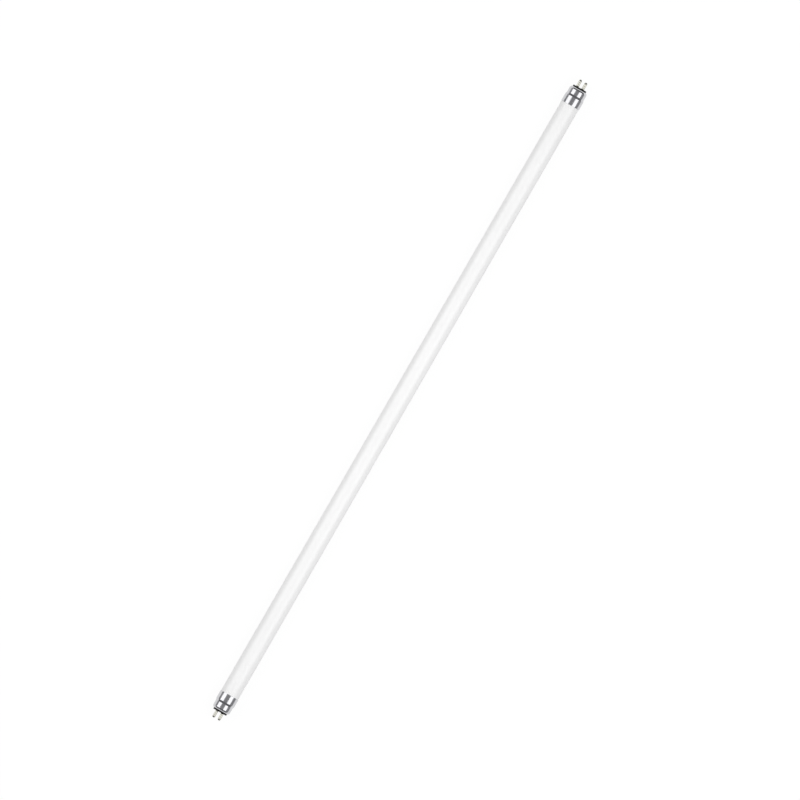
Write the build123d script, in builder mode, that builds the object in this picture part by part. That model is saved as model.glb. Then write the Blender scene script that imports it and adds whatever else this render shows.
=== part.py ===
"""LED tube of the 16 mm class with a two-pin base at each end, 549 mm between the base faces.

The tube lies along X with its middle at the origin, and +Z is the way the light leaves.
The pins of each base stand in a line along Y. Every station is a distance along +X at the
right end, and the left end mirrors it. All sizes are in millimetres.
"""
import os
from math import cos, radians, sin, sqrt

from build123d import *

# Base, by the standard for this size of lamp
base_face_length = 549.0
pin_reach = 7.1
pin_diameter = 2.37
pin_spacing = 4.75
boss_proud = 1.3

# Drawn metal shell, from its mouth on the glass to its base face
shell_length = 13.8
shell_wall = 0.2
skirt_clearance = 0.15
skirt_length = 6.6
step_length = 1.4
step_depth = 0.55
shoulder_flats = 2
face_ring_width = 0.15

# Moulded pin plate inside the shell
boss_diameter = 11.4
boss_clearance = 0.1
plate_thickness = 2.0
plate_side_clearance = 0.3
socket_width = 3.9
socket_length = 2.2

# Contact pin: free length with an open mouth at its tip, and a thinner shank in the plate
shank_diameter = 2.0
shank_clearance = 0.03
tip_chamfer = 0.35
tip_mouth_diameter = 1.3
tip_mouth_depth = 0.6

# Opal glass
glass_diameter = 15.0
glass_wall = 0.8
glass_end_chamfer = 0.3
glass_to_step = 0.5

# Cap cement between skirt and glass
cement_clearance = 0.02
cement_margin = 0.6

# LED board, its bead of silicone and the LED packages
led_board_width = 9.6
led_board_thickness = 1.0
led_board_inset = 8.5
glass_clearance = 0.05
bead_width = 6.0
bead_inset = 4.0
led_pitch = 8.9
led_length = 2.8
led_width = 3.5
led_height = 0.7
led_to_driver = 2.5

# Lead wires, drawn eight-sided, and the boards that they lie on
lead_diameter = 0.6
lead_sides = 8
lead_overlap = 5.0
board_thickness = 1.0
board_corner_chamfer = 1.0
board_inset = 2.8
board_margin = 2.0
board_clearance = 0.3
part_gap = 0.5

# Square header posts between the LED board and a driver or input board
post_side = 0.64
post_spacing = 5.08
post_inset = 2.5

# Parts on the boards
resistor_diameter = 2.3
resistor_length = 6.4
resistor_wire = 0.5
resistor_wire_run = 1.3
filament_resistor_length = 6.3
filament_resistor_width = 3.2
filament_resistor_height = 0.6
film_length = 7.2
film_width = 3.0
film_height = 4.4
film_chamfer = 0.4
can_diameter = 5.0
can_length = 11.0
can_rim_chamfer = 0.3
can_wire = 0.5
can_wire_spacing = 2.0
can_wire_run = 1.6
choke_length = 5.6
choke_width = 5.2
choke_height = 4.0
choke_corner = 0.9
choke_clip_width = 2.4
choke_clip_rise = 1.4
choke_clip_foot = 1.6
clip_thickness = 0.2
chip_height = 1.45
chip_standoff = 0.1
chip_draft = 8.0
chip_lead_thickness = 0.2
chip_lead_reach = 1.1
chip_lead_foot = 0.6
rectifier_length = 4.7
rectifier_width = 3.9
rectifier_lead_pitch = 2.54
rectifier_lead_width = 0.6
rectifier_leads_per_side = 2
driver_chip_length = 4.9
driver_chip_width = 3.9
driver_chip_lead_pitch = 1.27
driver_chip_lead_width = 0.42
driver_chip_leads_per_side = 4
small_resistor_length = 2.0
small_resistor_width = 1.25
small_resistor_height = 0.55
part_clearance = 0.02

# Radii, from the glass out to the skirt, and from the boss out to the nose
glass_r = glass_diameter / 2
glass_bore_r = glass_r - glass_wall
skirt_r = glass_r + skirt_clearance + shell_wall
nose_r = skirt_r - step_depth
boss_r = boss_diameter / 2
opening_r = boss_r + boss_clearance
shoulder_r = opening_r + face_ring_width
shoulder_radius = nose_r - shoulder_r
plate_r = nose_r - shell_wall - plate_side_clearance
plate_chamfer = plate_r - shoulder_r
pin_r = pin_diameter / 2
shank_r = shank_diameter / 2
lead_r = lead_diameter / 2

# Stations of the right end along X
base_face = base_face_length / 2
boss_face = base_face + boss_proud
pin_tip = base_face + pin_reach
mouth = base_face - shell_length
step_start = mouth + skirt_length
step_end = step_start + step_length
plate_front = base_face - shell_wall
plate_back = plate_front - plate_thickness
socket_back = plate_back - socket_length
glass_end = step_start - glass_to_step
board_end = glass_end - board_inset
led_board_end = glass_end - led_board_inset
post_x = led_board_end - post_inset
lead_start = board_end - lead_overlap

# Heights: the LED board rests on its two lower corners in the round glass
seat_r = glass_bore_r - glass_clearance
led_board_bottom = -sqrt(seat_r**2 - (led_board_width / 2) ** 2)
led_board_top = led_board_bottom + led_board_thickness
board_top = -lead_r
board_bottom = board_top - board_thickness

# The driver and input boards are as wide as the round glass lets them be at their height
board_width = 2 * sqrt((glass_bore_r - board_clearance) ** 2 - board_bottom**2)

# Rows of parts on the driver board, from the leads towards the middle of the tube
resistor_reach = resistor_length / 2 + resistor_wire_run
fuse_row = lead_start - part_gap
can_row = fuse_row - max(2 * resistor_reach, rectifier_length) - part_gap
choke_row = can_row - max(can_length + can_wire_run, film_length) - part_gap
chip_row = choke_row - choke_length - 2 * clip_thickness - part_gap
driver_board_length = board_end - chip_row + driver_chip_length + board_margin

# Rows of parts on the input board, counted the same way from the left end
film_row = fuse_row - filament_resistor_length - part_gap
input_board_length = board_end - film_row + film_length + board_margin

# The LED row fills what the boards leave free, on whole pitches
led_row_end = board_end - max(driver_board_length, input_board_length) - led_to_driver
led_count = int(2 * (led_row_end - led_length / 2) / led_pitch) + 1

pin_places = {"rear": pin_spacing / 2, "front": -pin_spacing / 2}


def write(piece, name):
    piece.label = name
    export_step(piece, f"parts/{name}.step")


def write_both_ends(right_piece, name):
    with BuildPart() as left:
        mirror(right_piece, about=Plane.YZ)
    write(right_piece, f"right_{name}")
    write(left.part, f"left_{name}")


def pin_line_plane(y):
    """The XY plane moved to the axis of one pin."""
    return Plane((0, y, 0), x_dir=(1, 0, 0), z_dir=(0, 0, 1))


def corner_points(start_x, end_r, radius):
    """A quarter round turned in equal flats, from the cylinder over to the flat face."""
    turns = [radians(90 * flat / shoulder_flats) for flat in range(shoulder_flats + 1)]
    return [(start_x + radius * sin(turn), end_r + radius * cos(turn)) for turn in turns]


def glass_tube():
    with BuildPart() as tube:
        with BuildSketch(Plane.YZ):
            Circle(glass_r)
            Circle(glass_bore_r, mode=Mode.SUBTRACT)
        extrude(amount=glass_end, both=True)
        outer_rims = tube.edges().filter_by(GeomType.CIRCLE).group_by(SortBy.RADIUS)[-1]
        chamfer(outer_rims, length=glass_end_chamfer)
    return tube.part


def end_shell():
    """One sheet wall: skirt over the glass, step, nose, rounded shoulder and turned-in face."""
    shoulder_x = base_face - shoulder_radius
    outside = [
        (mouth, skirt_r),
        (step_start, skirt_r),
        (step_end, nose_r),
        *corner_points(shoulder_x, shoulder_r, shoulder_radius),
        (base_face, opening_r),
    ]
    inside = [
        (base_face - shell_wall, opening_r),
        *reversed(corner_points(shoulder_x, shoulder_r, shoulder_radius - shell_wall)),
        (step_end, nose_r - shell_wall),
        (step_start, skirt_r - shell_wall),
        (mouth, skirt_r - shell_wall),
    ]
    with BuildPart() as shell:
        with BuildSketch(Plane.XY):
            with BuildLine():
                Polyline(*outside, *inside, close=True)
            make_face()
        revolve(axis=Axis.X)
    return shell.part


def pin_plate():
    """Moulded disc with a boss through the shell's face and one oblong socket block behind it."""
    with BuildPart() as plate:
        with BuildSketch(Plane.XY):
            with BuildLine():
                Polyline(
                    (plate_back, 0),
                    (boss_face, 0),
                    (boss_face, boss_r),
                    (plate_front, boss_r),
                    (plate_front, shoulder_r),
                    (plate_front - plate_chamfer, plate_r),
                    (plate_back, plate_r),
                    close=True,
                )
            make_face()
        revolve(axis=Axis.X)
        with BuildSketch(Plane.YZ.offset(socket_back)):
            SlotCenterToCenter(pin_spacing, socket_width)
        extrude(amount=socket_length)
        with BuildSketch(Plane.YZ.offset(socket_back)):
            with GridLocations(pin_spacing, 1, 2, 1):
                Circle(shank_r + shank_clearance)
        extrude(amount=boss_face - socket_back, mode=Mode.SUBTRACT)
    return plate.part


def contact_pin(y):
    """Turned pin: shank flush with the back of its socket, shoulder on the boss, open tip."""
    mouth_r = tip_mouth_diameter / 2
    with BuildPart() as pin:
        with BuildSketch(pin_line_plane(y)):
            with BuildLine():
                Polyline(
                    (socket_back, 0),
                    (socket_back, shank_r),
                    (boss_face, shank_r),
                    (boss_face, pin_r),
                    (pin_tip - tip_chamfer, pin_r),
                    (pin_tip, pin_r - tip_chamfer),
                    (pin_tip, mouth_r),
                    (pin_tip - tip_mouth_depth, mouth_r),
                    (pin_tip - tip_mouth_depth, 0),
                    close=True,
                )
            make_face()
        revolve(axis=Axis((0, y, 0), (1, 0, 0)))
    return pin.part


def cap_cement():
    with BuildPart() as cement:
        with BuildSketch(Plane.YZ.offset(mouth + cement_margin)):
            Circle(skirt_r - shell_wall - cement_clearance)
            Circle(glass_r + cement_clearance, mode=Mode.SUBTRACT)
        extrude(amount=glass_end - glass_end_chamfer - mouth - 2 * cement_margin)
        mirror(about=Plane.YZ)
    return cement.part


def pin_leads():
    """Two bare wires, each from the back of a pin to a pad of the board."""
    with BuildPart() as leads:
        with BuildSketch(Plane.YZ.offset(lead_start)):
            with GridLocations(pin_spacing, 1, 2, 1):
                RegularPolygon(lead_r, lead_sides, major_radius=False, rotation=180 / lead_sides)
        extrude(amount=socket_back - lead_start)
    return leads.part


def led_board():
    with BuildPart() as board:
        with BuildSketch(Plane.XY.offset(led_board_bottom)):
            Rectangle(2 * led_board_end, led_board_width)
        extrude(amount=led_board_thickness)
    return board.part


def board_bead():
    """Silicone that fills the bottom of the glass under the LED board."""
    half_length = led_board_end - bead_inset
    with BuildPart() as bead:
        with BuildSketch(Plane.YZ):
            Circle(seat_r)
            with Locations((0, led_board_bottom)):
                Rectangle(bead_width, glass_r, align=(Align.CENTER, Align.MAX), mode=Mode.INTERSECT)
        extrude(amount=half_length, both=True)
    return bead.part


def led_packages():
    with BuildPart() as packages:
        with BuildSketch(Plane.XY.offset(led_board_top)):
            with GridLocations(led_pitch, 1, led_count, 1):
                Rectangle(led_length, led_width)
        extrude(amount=led_height)
    return packages.part


def end_board(outer_end, length):
    """A board across the glass, its outer end at the given station and the rest towards the middle."""
    inner_end = outer_end - length if outer_end > 0 else outer_end + length
    with BuildPart() as board:
        with BuildSketch(Plane.XY.offset(board_bottom)) as outline:
            with Locations(((outer_end + inner_end) / 2, 0)):
                Rectangle(length, board_width)
            chamfer(outline.vertices(), length=board_corner_chamfer)
        extrude(amount=board_thickness)
    return board.part


def board_posts():
    with BuildPart() as posts:
        with BuildSketch(Plane.XY.offset(led_board_top)):
            with Locations((post_x, 0)):
                with GridLocations(1, post_spacing, 1, 2):
                    Rectangle(post_side, post_side)
        extrude(amount=board_bottom - led_board_top)
    return posts.part


def bent_wire(root_x, way, run, half_wire, axis_z):
    """Outline of a wire that leaves a part along X and turns down to the board."""
    outer_x = root_x + way * run
    inner_x = outer_x - way * 2 * half_wire
    return [
        (root_x, axis_z + half_wire),
        (outer_x, axis_z + half_wire),
        (outer_x, board_top),
        (inner_x, board_top),
        (inner_x, axis_z - half_wire),
        (root_x, axis_z - half_wire),
    ]


def fuse_resistor(x, y):
    """Round resistor lying along X, on two square wires bent down to the board."""
    body_r = resistor_diameter / 2
    axis_z = board_top + body_r + part_clearance
    half_wire = resistor_wire / 2
    half_length = resistor_length / 2
    with BuildPart() as resistor:
        with BuildSketch(Plane.YZ.offset(x - half_length)):
            with Locations((y, axis_z)):
                Circle(body_r)
        extrude(amount=resistor_length)
        for way in (-1, 1):
            with BuildSketch(Plane.XZ.offset(-y)):
                root_x = x + way * half_length
                with BuildLine():
                    Polyline(*bent_wire(root_x, way, resistor_wire_run, half_wire, axis_z), close=True)
                make_face()
            extrude(amount=half_wire, both=True)
    return resistor.part


def film_capacitors(places):
    with BuildPart() as capacitors:
        with BuildSketch(Plane.XY.offset(board_top)):
            with Locations(*places):
                Rectangle(film_length, film_width)
        extrude(amount=film_height)
        chamfer(capacitors.edges().group_by(Axis.Z)[-1], length=film_chamfer)
    return capacitors.part


def smoothing_capacitor(x, y):
    """Round can lying along X, with two bent wires at its sealed end."""
    can_r = can_diameter / 2
    axis_z = board_top + can_r + part_clearance
    closed_end = x - can_length / 2
    seal_end = x + can_length / 2
    half_wire = can_wire / 2
    with BuildPart() as can:
        with BuildSketch(Plane.YZ.offset(closed_end)):
            with Locations((y, axis_z)):
                Circle(can_r)
        extrude(amount=can_length)
        chamfer(can.edges().filter_by(GeomType.CIRCLE).sort_by(Axis.X)[0], length=can_rim_chamfer)
        for wire_y in (y - can_wire_spacing / 2, y + can_wire_spacing / 2):
            with BuildSketch(Plane.XZ.offset(-wire_y)):
                with BuildLine():
                    Polyline(*bent_wire(seal_end, 1, can_wire_run, half_wire, axis_z), close=True)
                make_face()
            extrude(amount=half_wire, both=True)
    return can.part


def choke(x, y):
    """Moulded block choke, held up on a bent clip at each end."""
    side_x = choke_length / 2
    clip_x = side_x + clip_thickness
    foot_x = clip_x - choke_clip_foot
    with BuildPart() as block:
        with BuildSketch(Plane.XY.offset(board_top + clip_thickness)) as outline:
            with Locations((x, y)):
                Rectangle(choke_length, choke_width)
            chamfer(outline.vertices(), length=choke_corner)
        extrude(amount=choke_height)
        for way in (-1, 1):
            with BuildSketch(Plane.XZ.offset(-y)):
                with BuildLine():
                    Polyline(
                        (x + way * foot_x, board_top),
                        (x + way * clip_x, board_top),
                        (x + way * clip_x, board_top + choke_clip_rise),
                        (x + way * side_x, board_top + choke_clip_rise),
                        (x + way * side_x, board_top + clip_thickness),
                        (x + way * foot_x, board_top + clip_thickness),
                        close=True,
                    )
                make_face()
            extrude(amount=choke_clip_width / 2, both=True)
    return block.part


def leaded_chip(x, y, length, width, leads_per_side, lead_pitch, lead_width):
    """Moulded chip with gull-wing leads along both long sides."""
    seat = board_top + chip_standoff
    lead_root = seat + chip_height / 2
    body_side = width / 2
    foot_end = body_side + chip_lead_reach
    foot_start = foot_end - chip_lead_foot
    thick = chip_lead_thickness
    with BuildPart() as chip:
        with BuildSketch(Plane.XY.offset(lead_root)):
            with Locations((x, y)):
                Rectangle(length, width)
        extrude(amount=chip_height / 2, both=True, taper=chip_draft)
        first = x - lead_pitch * (leads_per_side - 1) / 2 - lead_width / 2
        for place in range(leads_per_side):
            for way in (-1, 1):
                with BuildSketch(Plane.YZ.offset(first + place * lead_pitch)):
                    with BuildLine():
                        Polyline(
                            (y + way * (body_side - thick), lead_root + thick / 2),
                            (y + way * (foot_start + thick), lead_root + thick / 2),
                            (y + way * (foot_start + thick), board_top + thick),
                            (y + way * foot_end, board_top + thick),
                            (y + way * foot_end, board_top),
                            (y + way * foot_start, board_top),
                            (y + way * foot_start, lead_root - thick / 2),
                            (y + way * (body_side - thick), lead_root - thick / 2),
                            close=True,
                        )
                    make_face()
                extrude(amount=lead_width)
    return chip.part


def flat_resistors(places, length, width, height):
    with BuildPart() as resistors:
        with BuildSketch(Plane.XY.offset(board_top)):
            with Locations(*places):
                Rectangle(length, width)
        extrude(amount=height)
    return resistors.part


os.makedirs("parts", exist_ok=True)

write(glass_tube(), "glass_tube")
write_both_ends(end_shell(), "end_shell")
write_both_ends(pin_plate(), "pin_plate")
for place, y in pin_places.items():
    write_both_ends(contact_pin(y), f"{place}_pin")
write(cap_cement(), "cap_cement")
write_both_ends(pin_leads(), "pin_leads")
write(led_board(), "led_board")
write(led_packages(), "led_packages")
write(board_bead(), "board_bead")
write(end_board(board_end, driver_board_length), "driver_board")
write(end_board(-board_end, input_board_length), "input_board")
write_both_ends(board_posts(), "board_posts")

# Driver board: each part lies beside the middle line or on it, in the row that is its own
half_gap = part_gap / 2
fuse_y = -half_gap - resistor_diameter / 2
rectifier_y = half_gap + rectifier_width / 2 + chip_lead_reach
can_x = can_row - can_wire_run - can_length / 2
can_y = -half_gap - can_diameter / 2
driver_film_place = (can_row - film_length / 2, half_gap + film_width / 2)
choke_x = choke_row - clip_thickness - choke_length / 2
driver_chip_x = chip_row - driver_chip_length / 2
beside_choke = choke_width / 2 + part_gap + small_resistor_width / 2
beside_chip = driver_chip_width / 2 + chip_lead_reach + part_gap + small_resistor_width / 2
small_places = [
    (x, way * beside)
    for x, beside in ((choke_x, beside_choke), (driver_chip_x, beside_chip))
    for way in (-1, 1)
]

write(fuse_resistor(fuse_row - resistor_reach, fuse_y), "fuse_resistor")
write(
    leaded_chip(
        fuse_row - rectifier_length / 2,
        rectifier_y,
        rectifier_length,
        rectifier_width,
        rectifier_leads_per_side,
        rectifier_lead_pitch,
        rectifier_lead_width,
    ),
    "bridge_rectifier",
)
write(smoothing_capacitor(can_x, can_y), "smoothing_capacitor")
write(film_capacitors([driver_film_place]), "film_capacitor")
write(choke(choke_x, 0), "choke")
write(
    leaded_chip(
        driver_chip_x,
        0,
        driver_chip_length,
        driver_chip_width,
        driver_chip_leads_per_side,
        driver_chip_lead_pitch,
        driver_chip_lead_width,
    ),
    "driver_chip",
)
write(
    flat_resistors(
        small_places, small_resistor_length, small_resistor_width, small_resistor_height
    ),
    "chip_resistors",
)

# Input board, at the left end: two flat resistors, then two film capacitors, side by side
filament_y = half_gap + filament_resistor_width / 2
film_y = half_gap + film_width / 2
filament_places = [
    (filament_resistor_length / 2 - fuse_row, way * filament_y) for way in (-1, 1)
]
input_places = [(film_length / 2 - film_row, way * film_y) for way in (-1, 1)]
write(
    flat_resistors(
        filament_places,
        filament_resistor_length,
        filament_resistor_width,
        filament_resistor_height,
    ),
    "filament_resistors",
)
write(film_capacitors(input_places), "input_capacitors")
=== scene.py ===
"""Looks of the LED tube: opal glass, drawn metal end shells, black pin plates and plated pins."""
from math import cos, pi, radians, sin, tan

import bmesh
import bpy
from mathutils import Matrix, Vector


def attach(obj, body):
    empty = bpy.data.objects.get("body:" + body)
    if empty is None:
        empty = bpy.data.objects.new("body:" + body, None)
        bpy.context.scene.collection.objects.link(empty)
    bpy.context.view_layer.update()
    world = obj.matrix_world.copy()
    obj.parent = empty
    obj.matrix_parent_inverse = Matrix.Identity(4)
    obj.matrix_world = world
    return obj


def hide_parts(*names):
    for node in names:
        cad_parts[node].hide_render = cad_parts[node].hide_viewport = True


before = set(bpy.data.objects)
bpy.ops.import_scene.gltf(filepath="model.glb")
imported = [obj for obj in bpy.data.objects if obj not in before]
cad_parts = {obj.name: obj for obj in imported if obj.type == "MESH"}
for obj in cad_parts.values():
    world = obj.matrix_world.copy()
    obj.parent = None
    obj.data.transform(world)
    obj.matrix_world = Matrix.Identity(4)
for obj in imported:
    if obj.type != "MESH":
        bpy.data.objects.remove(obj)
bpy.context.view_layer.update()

MM = 0.001

# Sizes of the turned pieces in millimetres, as the CAD model has them
GLASS_R = 7.5
GLASS_BORE_R = 6.7
GLASS_END = 266.8
SKIRT_R = 7.85
NOSE_R = 7.3
WALL = 0.2
MOUTH = 260.7
STEP_START = 267.3
STEP_END = 268.7
BASE_FACE = 274.5
OPENING_R = 5.8
BOSS_R = 5.7
BOSS_FACE = 275.8
PLATE_R = 6.8
PLATE_FRONT = 274.3
PLATE_BACK = 272.3
PLATE_CHAMFER = 0.85
SOCKET_BACK = 270.1
SOCKET_WIDTH = 3.9
PIN_SPACING = 4.75
PIN_R = 1.185
SHANK_R = 1.0
SHANK_CLEARANCE = 0.03
PIN_TIP = 281.6

# Finer form of the shell: its step spreads a little, and its shoulder turns in at a knee. The
# shoulder's corners lie this far behind the base face and below the nose
STEP_SPREAD = 0.1
SHOULDER_BACK = 1.55
KNEE_BACK = 0.55
KNEE_DROP = 0.45
FACE_DROP = 1.15
INNER_KNEE_BACK = 0.66
INNER_KNEE_DROP = 0.62
INNER_FACE_DROP = 1.21

# Finer form of a pin's tip: a taper longer than the CAD chamfer, a mouth, and painted grey shade
# on its last millimetre that stands for the dark reflection of the rounded tip
TAPER_LENGTH = 0.9
TAPER_DROP = 0.45
PIN_MOUTH_R = 0.6
PIN_MOUTH_DEPTH = 0.6
PAINTED_DARK_TIP_START_BACK = 1.5
PAINTED_DARK_TIP_FULL_BACK = 0.7

# LED packages
LED_COUNT = 50
LED_PITCH = 8.9
LED_LENGTH = 2.8
LED_WIDTH = 3.5
LED_HEIGHT = 0.7
LED_WINDOW_SHARE = 0.76
LED_WINDOW_DEPTH = 0.1
LED_WINDOW_DRAFT = 0.93
LED_BOARD_TOP = -3.602

# Copper of the boards. Gap and half width are shares of the spacing of lands and tracks
COPPER_THICKNESS = 0.035
LAND_HALF_WIDTH = 4.1
LAND_GAP_SHARE = 0.035
TRACK_LENGTH = 3.2
TRACK_SPACING = 1.27
TRACK_HALF_SHARE = 0.275
TRACK_BLANK_SHARE = 0.42

# Where the CAD parts behind the glass lie, and half the length of their bodies between bare ends
FUSE_X = 254.0
FUSE_HALF_BODY = 3.21
FUSE_RINGS = (("#5B3420", 252.3), ("#141414", 253.3), ("#141414", 254.3), ("#B08A3C", 255.8))
FUSE_RING_HALF_WIDTH = 0.25
CAN_X = 241.9
CAN_HALF_SLEEVE = 5.3
CAN_STRIPE_Y = -5.25
CAN_STRIPE_HALF_WIDTH = 0.6
CHOKE_X = 232.9
CHOKE_HALF_BODY = 2.81
RECTIFIER_Y = 3.3
CHIP_Y = 0.0
CHIP_HALF_BODY = 1.92
CHIP_RESISTORS_X = (226.95, 232.9)
CHIP_RESISTOR_HALF_BODY = 0.7
FILAMENT_RESISTORS_X = (-255.35,)
FILAMENT_RESISTOR_HALF_BODY = 2.7

# Points nearer than this are joined, and edges over this angle in degrees are drawn sharp
MERGE_DISTANCE = 0.002
SHARP_ANGLE = 40

# The photograph: one pixel in millimetres, and how far its middle lies from the tube's
PHOTO_PIXELS = 800
PIXELS_PER_MM = 1.3065
LEAN_FROM_VERTICAL = 30.0
MIDDLE_RIGHT_PIXELS = -0.15
MIDDLE_UP_PIXELS = -0.1


def add_node(tree, kind, inputs=None, **settings):
    """Add one node. An input is a plain value, or another node's socket to link from."""
    node = tree.nodes.new(kind)
    for name, value in settings.items():
        setattr(node, name, value)
    known = {socket.identifier: socket for socket in node.inputs}
    for name, value in (inputs or {}).items():
        socket = known.get(name) or node.inputs[name]
        if isinstance(value, bpy.types.NodeSocket):
            tree.links.new(value, socket)
        else:
            socket.default_value = value
    return node


def paint(hex_colour):
    """An sRGB hex value as the linear colour that a shader takes."""
    parts = [int(hex_colour[first : first + 2], 16) / 255 for first in (1, 3, 5)]
    linear = [
        part / 12.92 if part <= 0.04045 else ((part + 0.055) / 1.055) ** 2.4 for part in parts
    ]
    return (*linear, 1.0)


def per_mm(size):
    """The scale at which a pattern repeats every so many millimetres."""
    return 1 / (size * MM)


def new_material(name, **constants):
    """A material with one Principled shader, and the object's own coordinates to draw on."""
    material = bpy.data.materials.new(name)
    material.use_nodes = True
    tree = material.node_tree
    tree.nodes.clear()
    shader = add_node(
        tree,
        "ShaderNodeBsdfPrincipled",
        {key.replace("_", " "): value for key, value in constants.items()},
    )
    add_node(tree, "ShaderNodeOutputMaterial", {"Surface": shader.outputs["BSDF"]})
    where = add_node(tree, "ShaderNodeTexCoord").outputs["Object"]
    return material, tree, shader, where


def dress(tree, shader, tint, rough, relief, strength, depth_mm):
    """Give a shader its colour and roughness, and a relief of a real depth."""
    bump = add_node(
        tree,
        "ShaderNodeBump",
        {"Height": relief, "Strength": strength, "Distance": depth_mm * MM},
    )
    tree.links.new(tint, shader.inputs["Base Color"])
    tree.links.new(rough, shader.inputs["Roughness"])
    tree.links.new(bump.outputs["Normal"], shader.inputs["Normal"])


# Materials of what is seen from outside


def opal_glass():
    """Soda-lime tube with a white scattering coat: clean gloss over faint clouds in the coat."""
    material, tree, shader, where = new_material("opal_coated_glass", IOR=1.52)
    # The coat runs down in clouds about 24 mm wide
    clouds = add_node(
        tree, "ShaderNodeTexNoise", {"Vector": where, "Scale": per_mm(24), "Detail": 2.0}
    ).outputs["Fac"]
    tint = add_node(
        tree,
        "ShaderNodeMix",
        {"Factor_Float": clouds, "A_Color": paint("#F6F6F6"), "B_Color": paint("#F9F9F9")},
        data_type="RGBA",
    )
    # Draw lines of the glass run along the tube, 1.5 mm apart round it
    drawn = add_node(tree, "ShaderNodeMapping", {"Vector": where, "Scale": (0.01, 1.0, 1.0)})
    lines = add_node(
        tree,
        "ShaderNodeTexNoise",
        {"Vector": drawn.outputs["Vector"], "Scale": per_mm(1.5), "Detail": 3.0},
    ).outputs["Fac"]
    rough = add_node(
        tree, "ShaderNodeMapRange", {"Value": lines, "To Min": 0.27, "To Max": 0.35}
    )
    dress(tree, shader, tint.outputs[2], rough.outputs["Result"], lines, 0.04, 0.02)
    return material


def drawn_metal():
    """Deep-drawn and barrel-polished aluminium: bright, with hair lines round the shell."""
    material, tree, shader, where = new_material("drawn_polished_aluminium", Metallic=1.0)
    # Polishing leaves lines of 0.05 mm, drawn 0.35 mm apart along the axis so that they show
    stretched = add_node(
        tree, "ShaderNodeMapping", {"Vector": where, "Scale": (1.0, 0.04, 0.04)}
    )
    hair = add_node(
        tree,
        "ShaderNodeTexNoise",
        {"Vector": stretched.outputs["Vector"], "Scale": per_mm(0.35), "Detail": 4.0},
    ).outputs["Fac"]
    # Marks of handling are about 5 mm wide
    handling = add_node(
        tree, "ShaderNodeTexNoise", {"Vector": where, "Scale": per_mm(5), "Detail": 3.0}
    ).outputs["Fac"]
    tint = add_node(
        tree,
        "ShaderNodeMix",
        {"Factor_Float": handling, "A_Color": paint("#CACACD"), "B_Color": paint("#D1D1D3")},
        data_type="RGBA",
    )
    both = add_node(tree, "ShaderNodeMath", {0: hair, 1: handling}, operation="MULTIPLY")
    rough = add_node(
        tree,
        "ShaderNodeMapRange",
        {"Value": both.outputs["Value"], "To Min": 0.14, "To Max": 0.28},
    )
    dress(tree, shader, tint.outputs[2], rough.outputs["Result"], hair, 0.08, 0.01)
    return material


def black_moulding():
    """Glass-filled thermoset, compression moulded: near black and dull, with a fine grain."""
    material, tree, shader, where = new_material(
        "black_moulded_thermoset", IOR=1.5, Specular_IOR_Level=0.3
    )
    # The spark-eroded mould leaves a grain of 0.1 mm, drawn at 0.25 mm so that it shows
    grain = add_node(
        tree, "ShaderNodeTexNoise", {"Vector": where, "Scale": per_mm(0.25), "Detail": 3.0}
    ).outputs["Fac"]
    # Flow marks of the moulding are about 4 mm wide
    flow = add_node(
        tree, "ShaderNodeTexNoise", {"Vector": where, "Scale": per_mm(4), "Detail": 2.0}
    ).outputs["Fac"]
    tint = add_node(
        tree,
        "ShaderNodeMix",
        {"Factor_Float": flow, "A_Color": paint("#0B0B0A"), "B_Color": paint("#141412")},
        data_type="RGBA",
    )
    rough = add_node(
        tree, "ShaderNodeMapRange", {"Value": grain, "To Min": 0.55, "To Max": 0.75}
    )
    dress(tree, shader, tint.outputs[2], rough.outputs["Result"], grain, 0.25, 0.02)
    return material


def plated_brass():
    """Turned brass under bright tin: pale, a little warm, with fine rub marks along the pin."""
    material, tree, shader, where = new_material("tin_plated_brass", Metallic=1.0)
    # The tin is a little thinner in patches of 1.6 mm
    wear = add_node(
        tree, "ShaderNodeTexNoise", {"Vector": where, "Scale": per_mm(1.6), "Detail": 4.0}
    ).outputs["Fac"]
    tint = add_node(
        tree,
        "ShaderNodeMix",
        {"Factor_Float": wear, "A_Color": paint("#D7D7CF"), "B_Color": paint("#D8D6C9")},
        data_type="RGBA",
    )
    # The last millimetre of the tip is painted grey and made dull: a painted dark reflection in
    # place of what the rounded tip reflects
    along = add_node(tree, "ShaderNodeSeparateXYZ", {"Vector": where}).outputs["X"]
    outwards = add_node(tree, "ShaderNodeMath", {0: along}, operation="ABSOLUTE")
    painted_dark_tip = add_node(
        tree,
        "ShaderNodeMapRange",
        {
            "Value": outwards.outputs["Value"],
            "From Min": (PIN_TIP - PAINTED_DARK_TIP_START_BACK) * MM,
            "From Max": (PIN_TIP - PAINTED_DARK_TIP_FULL_BACK) * MM,
        },
    ).outputs["Result"]
    shade = add_node(
        tree,
        "ShaderNodeMix",
        {"Factor_Float": painted_dark_tip, "A_Color": tint.outputs[2], "B_Color": paint("#A9A8A0")},
        data_type="RGBA",
    )
    # Rub marks from the lamp holder are 0.05 mm wide, drawn 0.2 mm apart so that they show
    stretched = add_node(tree, "ShaderNodeMapping", {"Vector": where, "Scale": (0.08, 1.0, 1.0)})
    rubs = add_node(
        tree,
        "ShaderNodeTexNoise",
        {"Vector": stretched.outputs["Vector"], "Scale": per_mm(0.2), "Detail": 2.0},
    ).outputs["Fac"]
    rough = add_node(
        tree, "ShaderNodeMapRange", {"Value": rubs, "To Min": 0.06, "To Max": 0.18}
    )
    dull = add_node(
        tree,
        "ShaderNodeMath",
        {0: painted_dark_tip, 1: 0.18, 2: rough.outputs["Result"]},
        operation="MULTIPLY_ADD",
    )
    dress(tree, shader, shade.outputs[2], dull.outputs["Value"], rubs, 0.1, 0.01)
    return material


# Materials of what the glass hides


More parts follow.
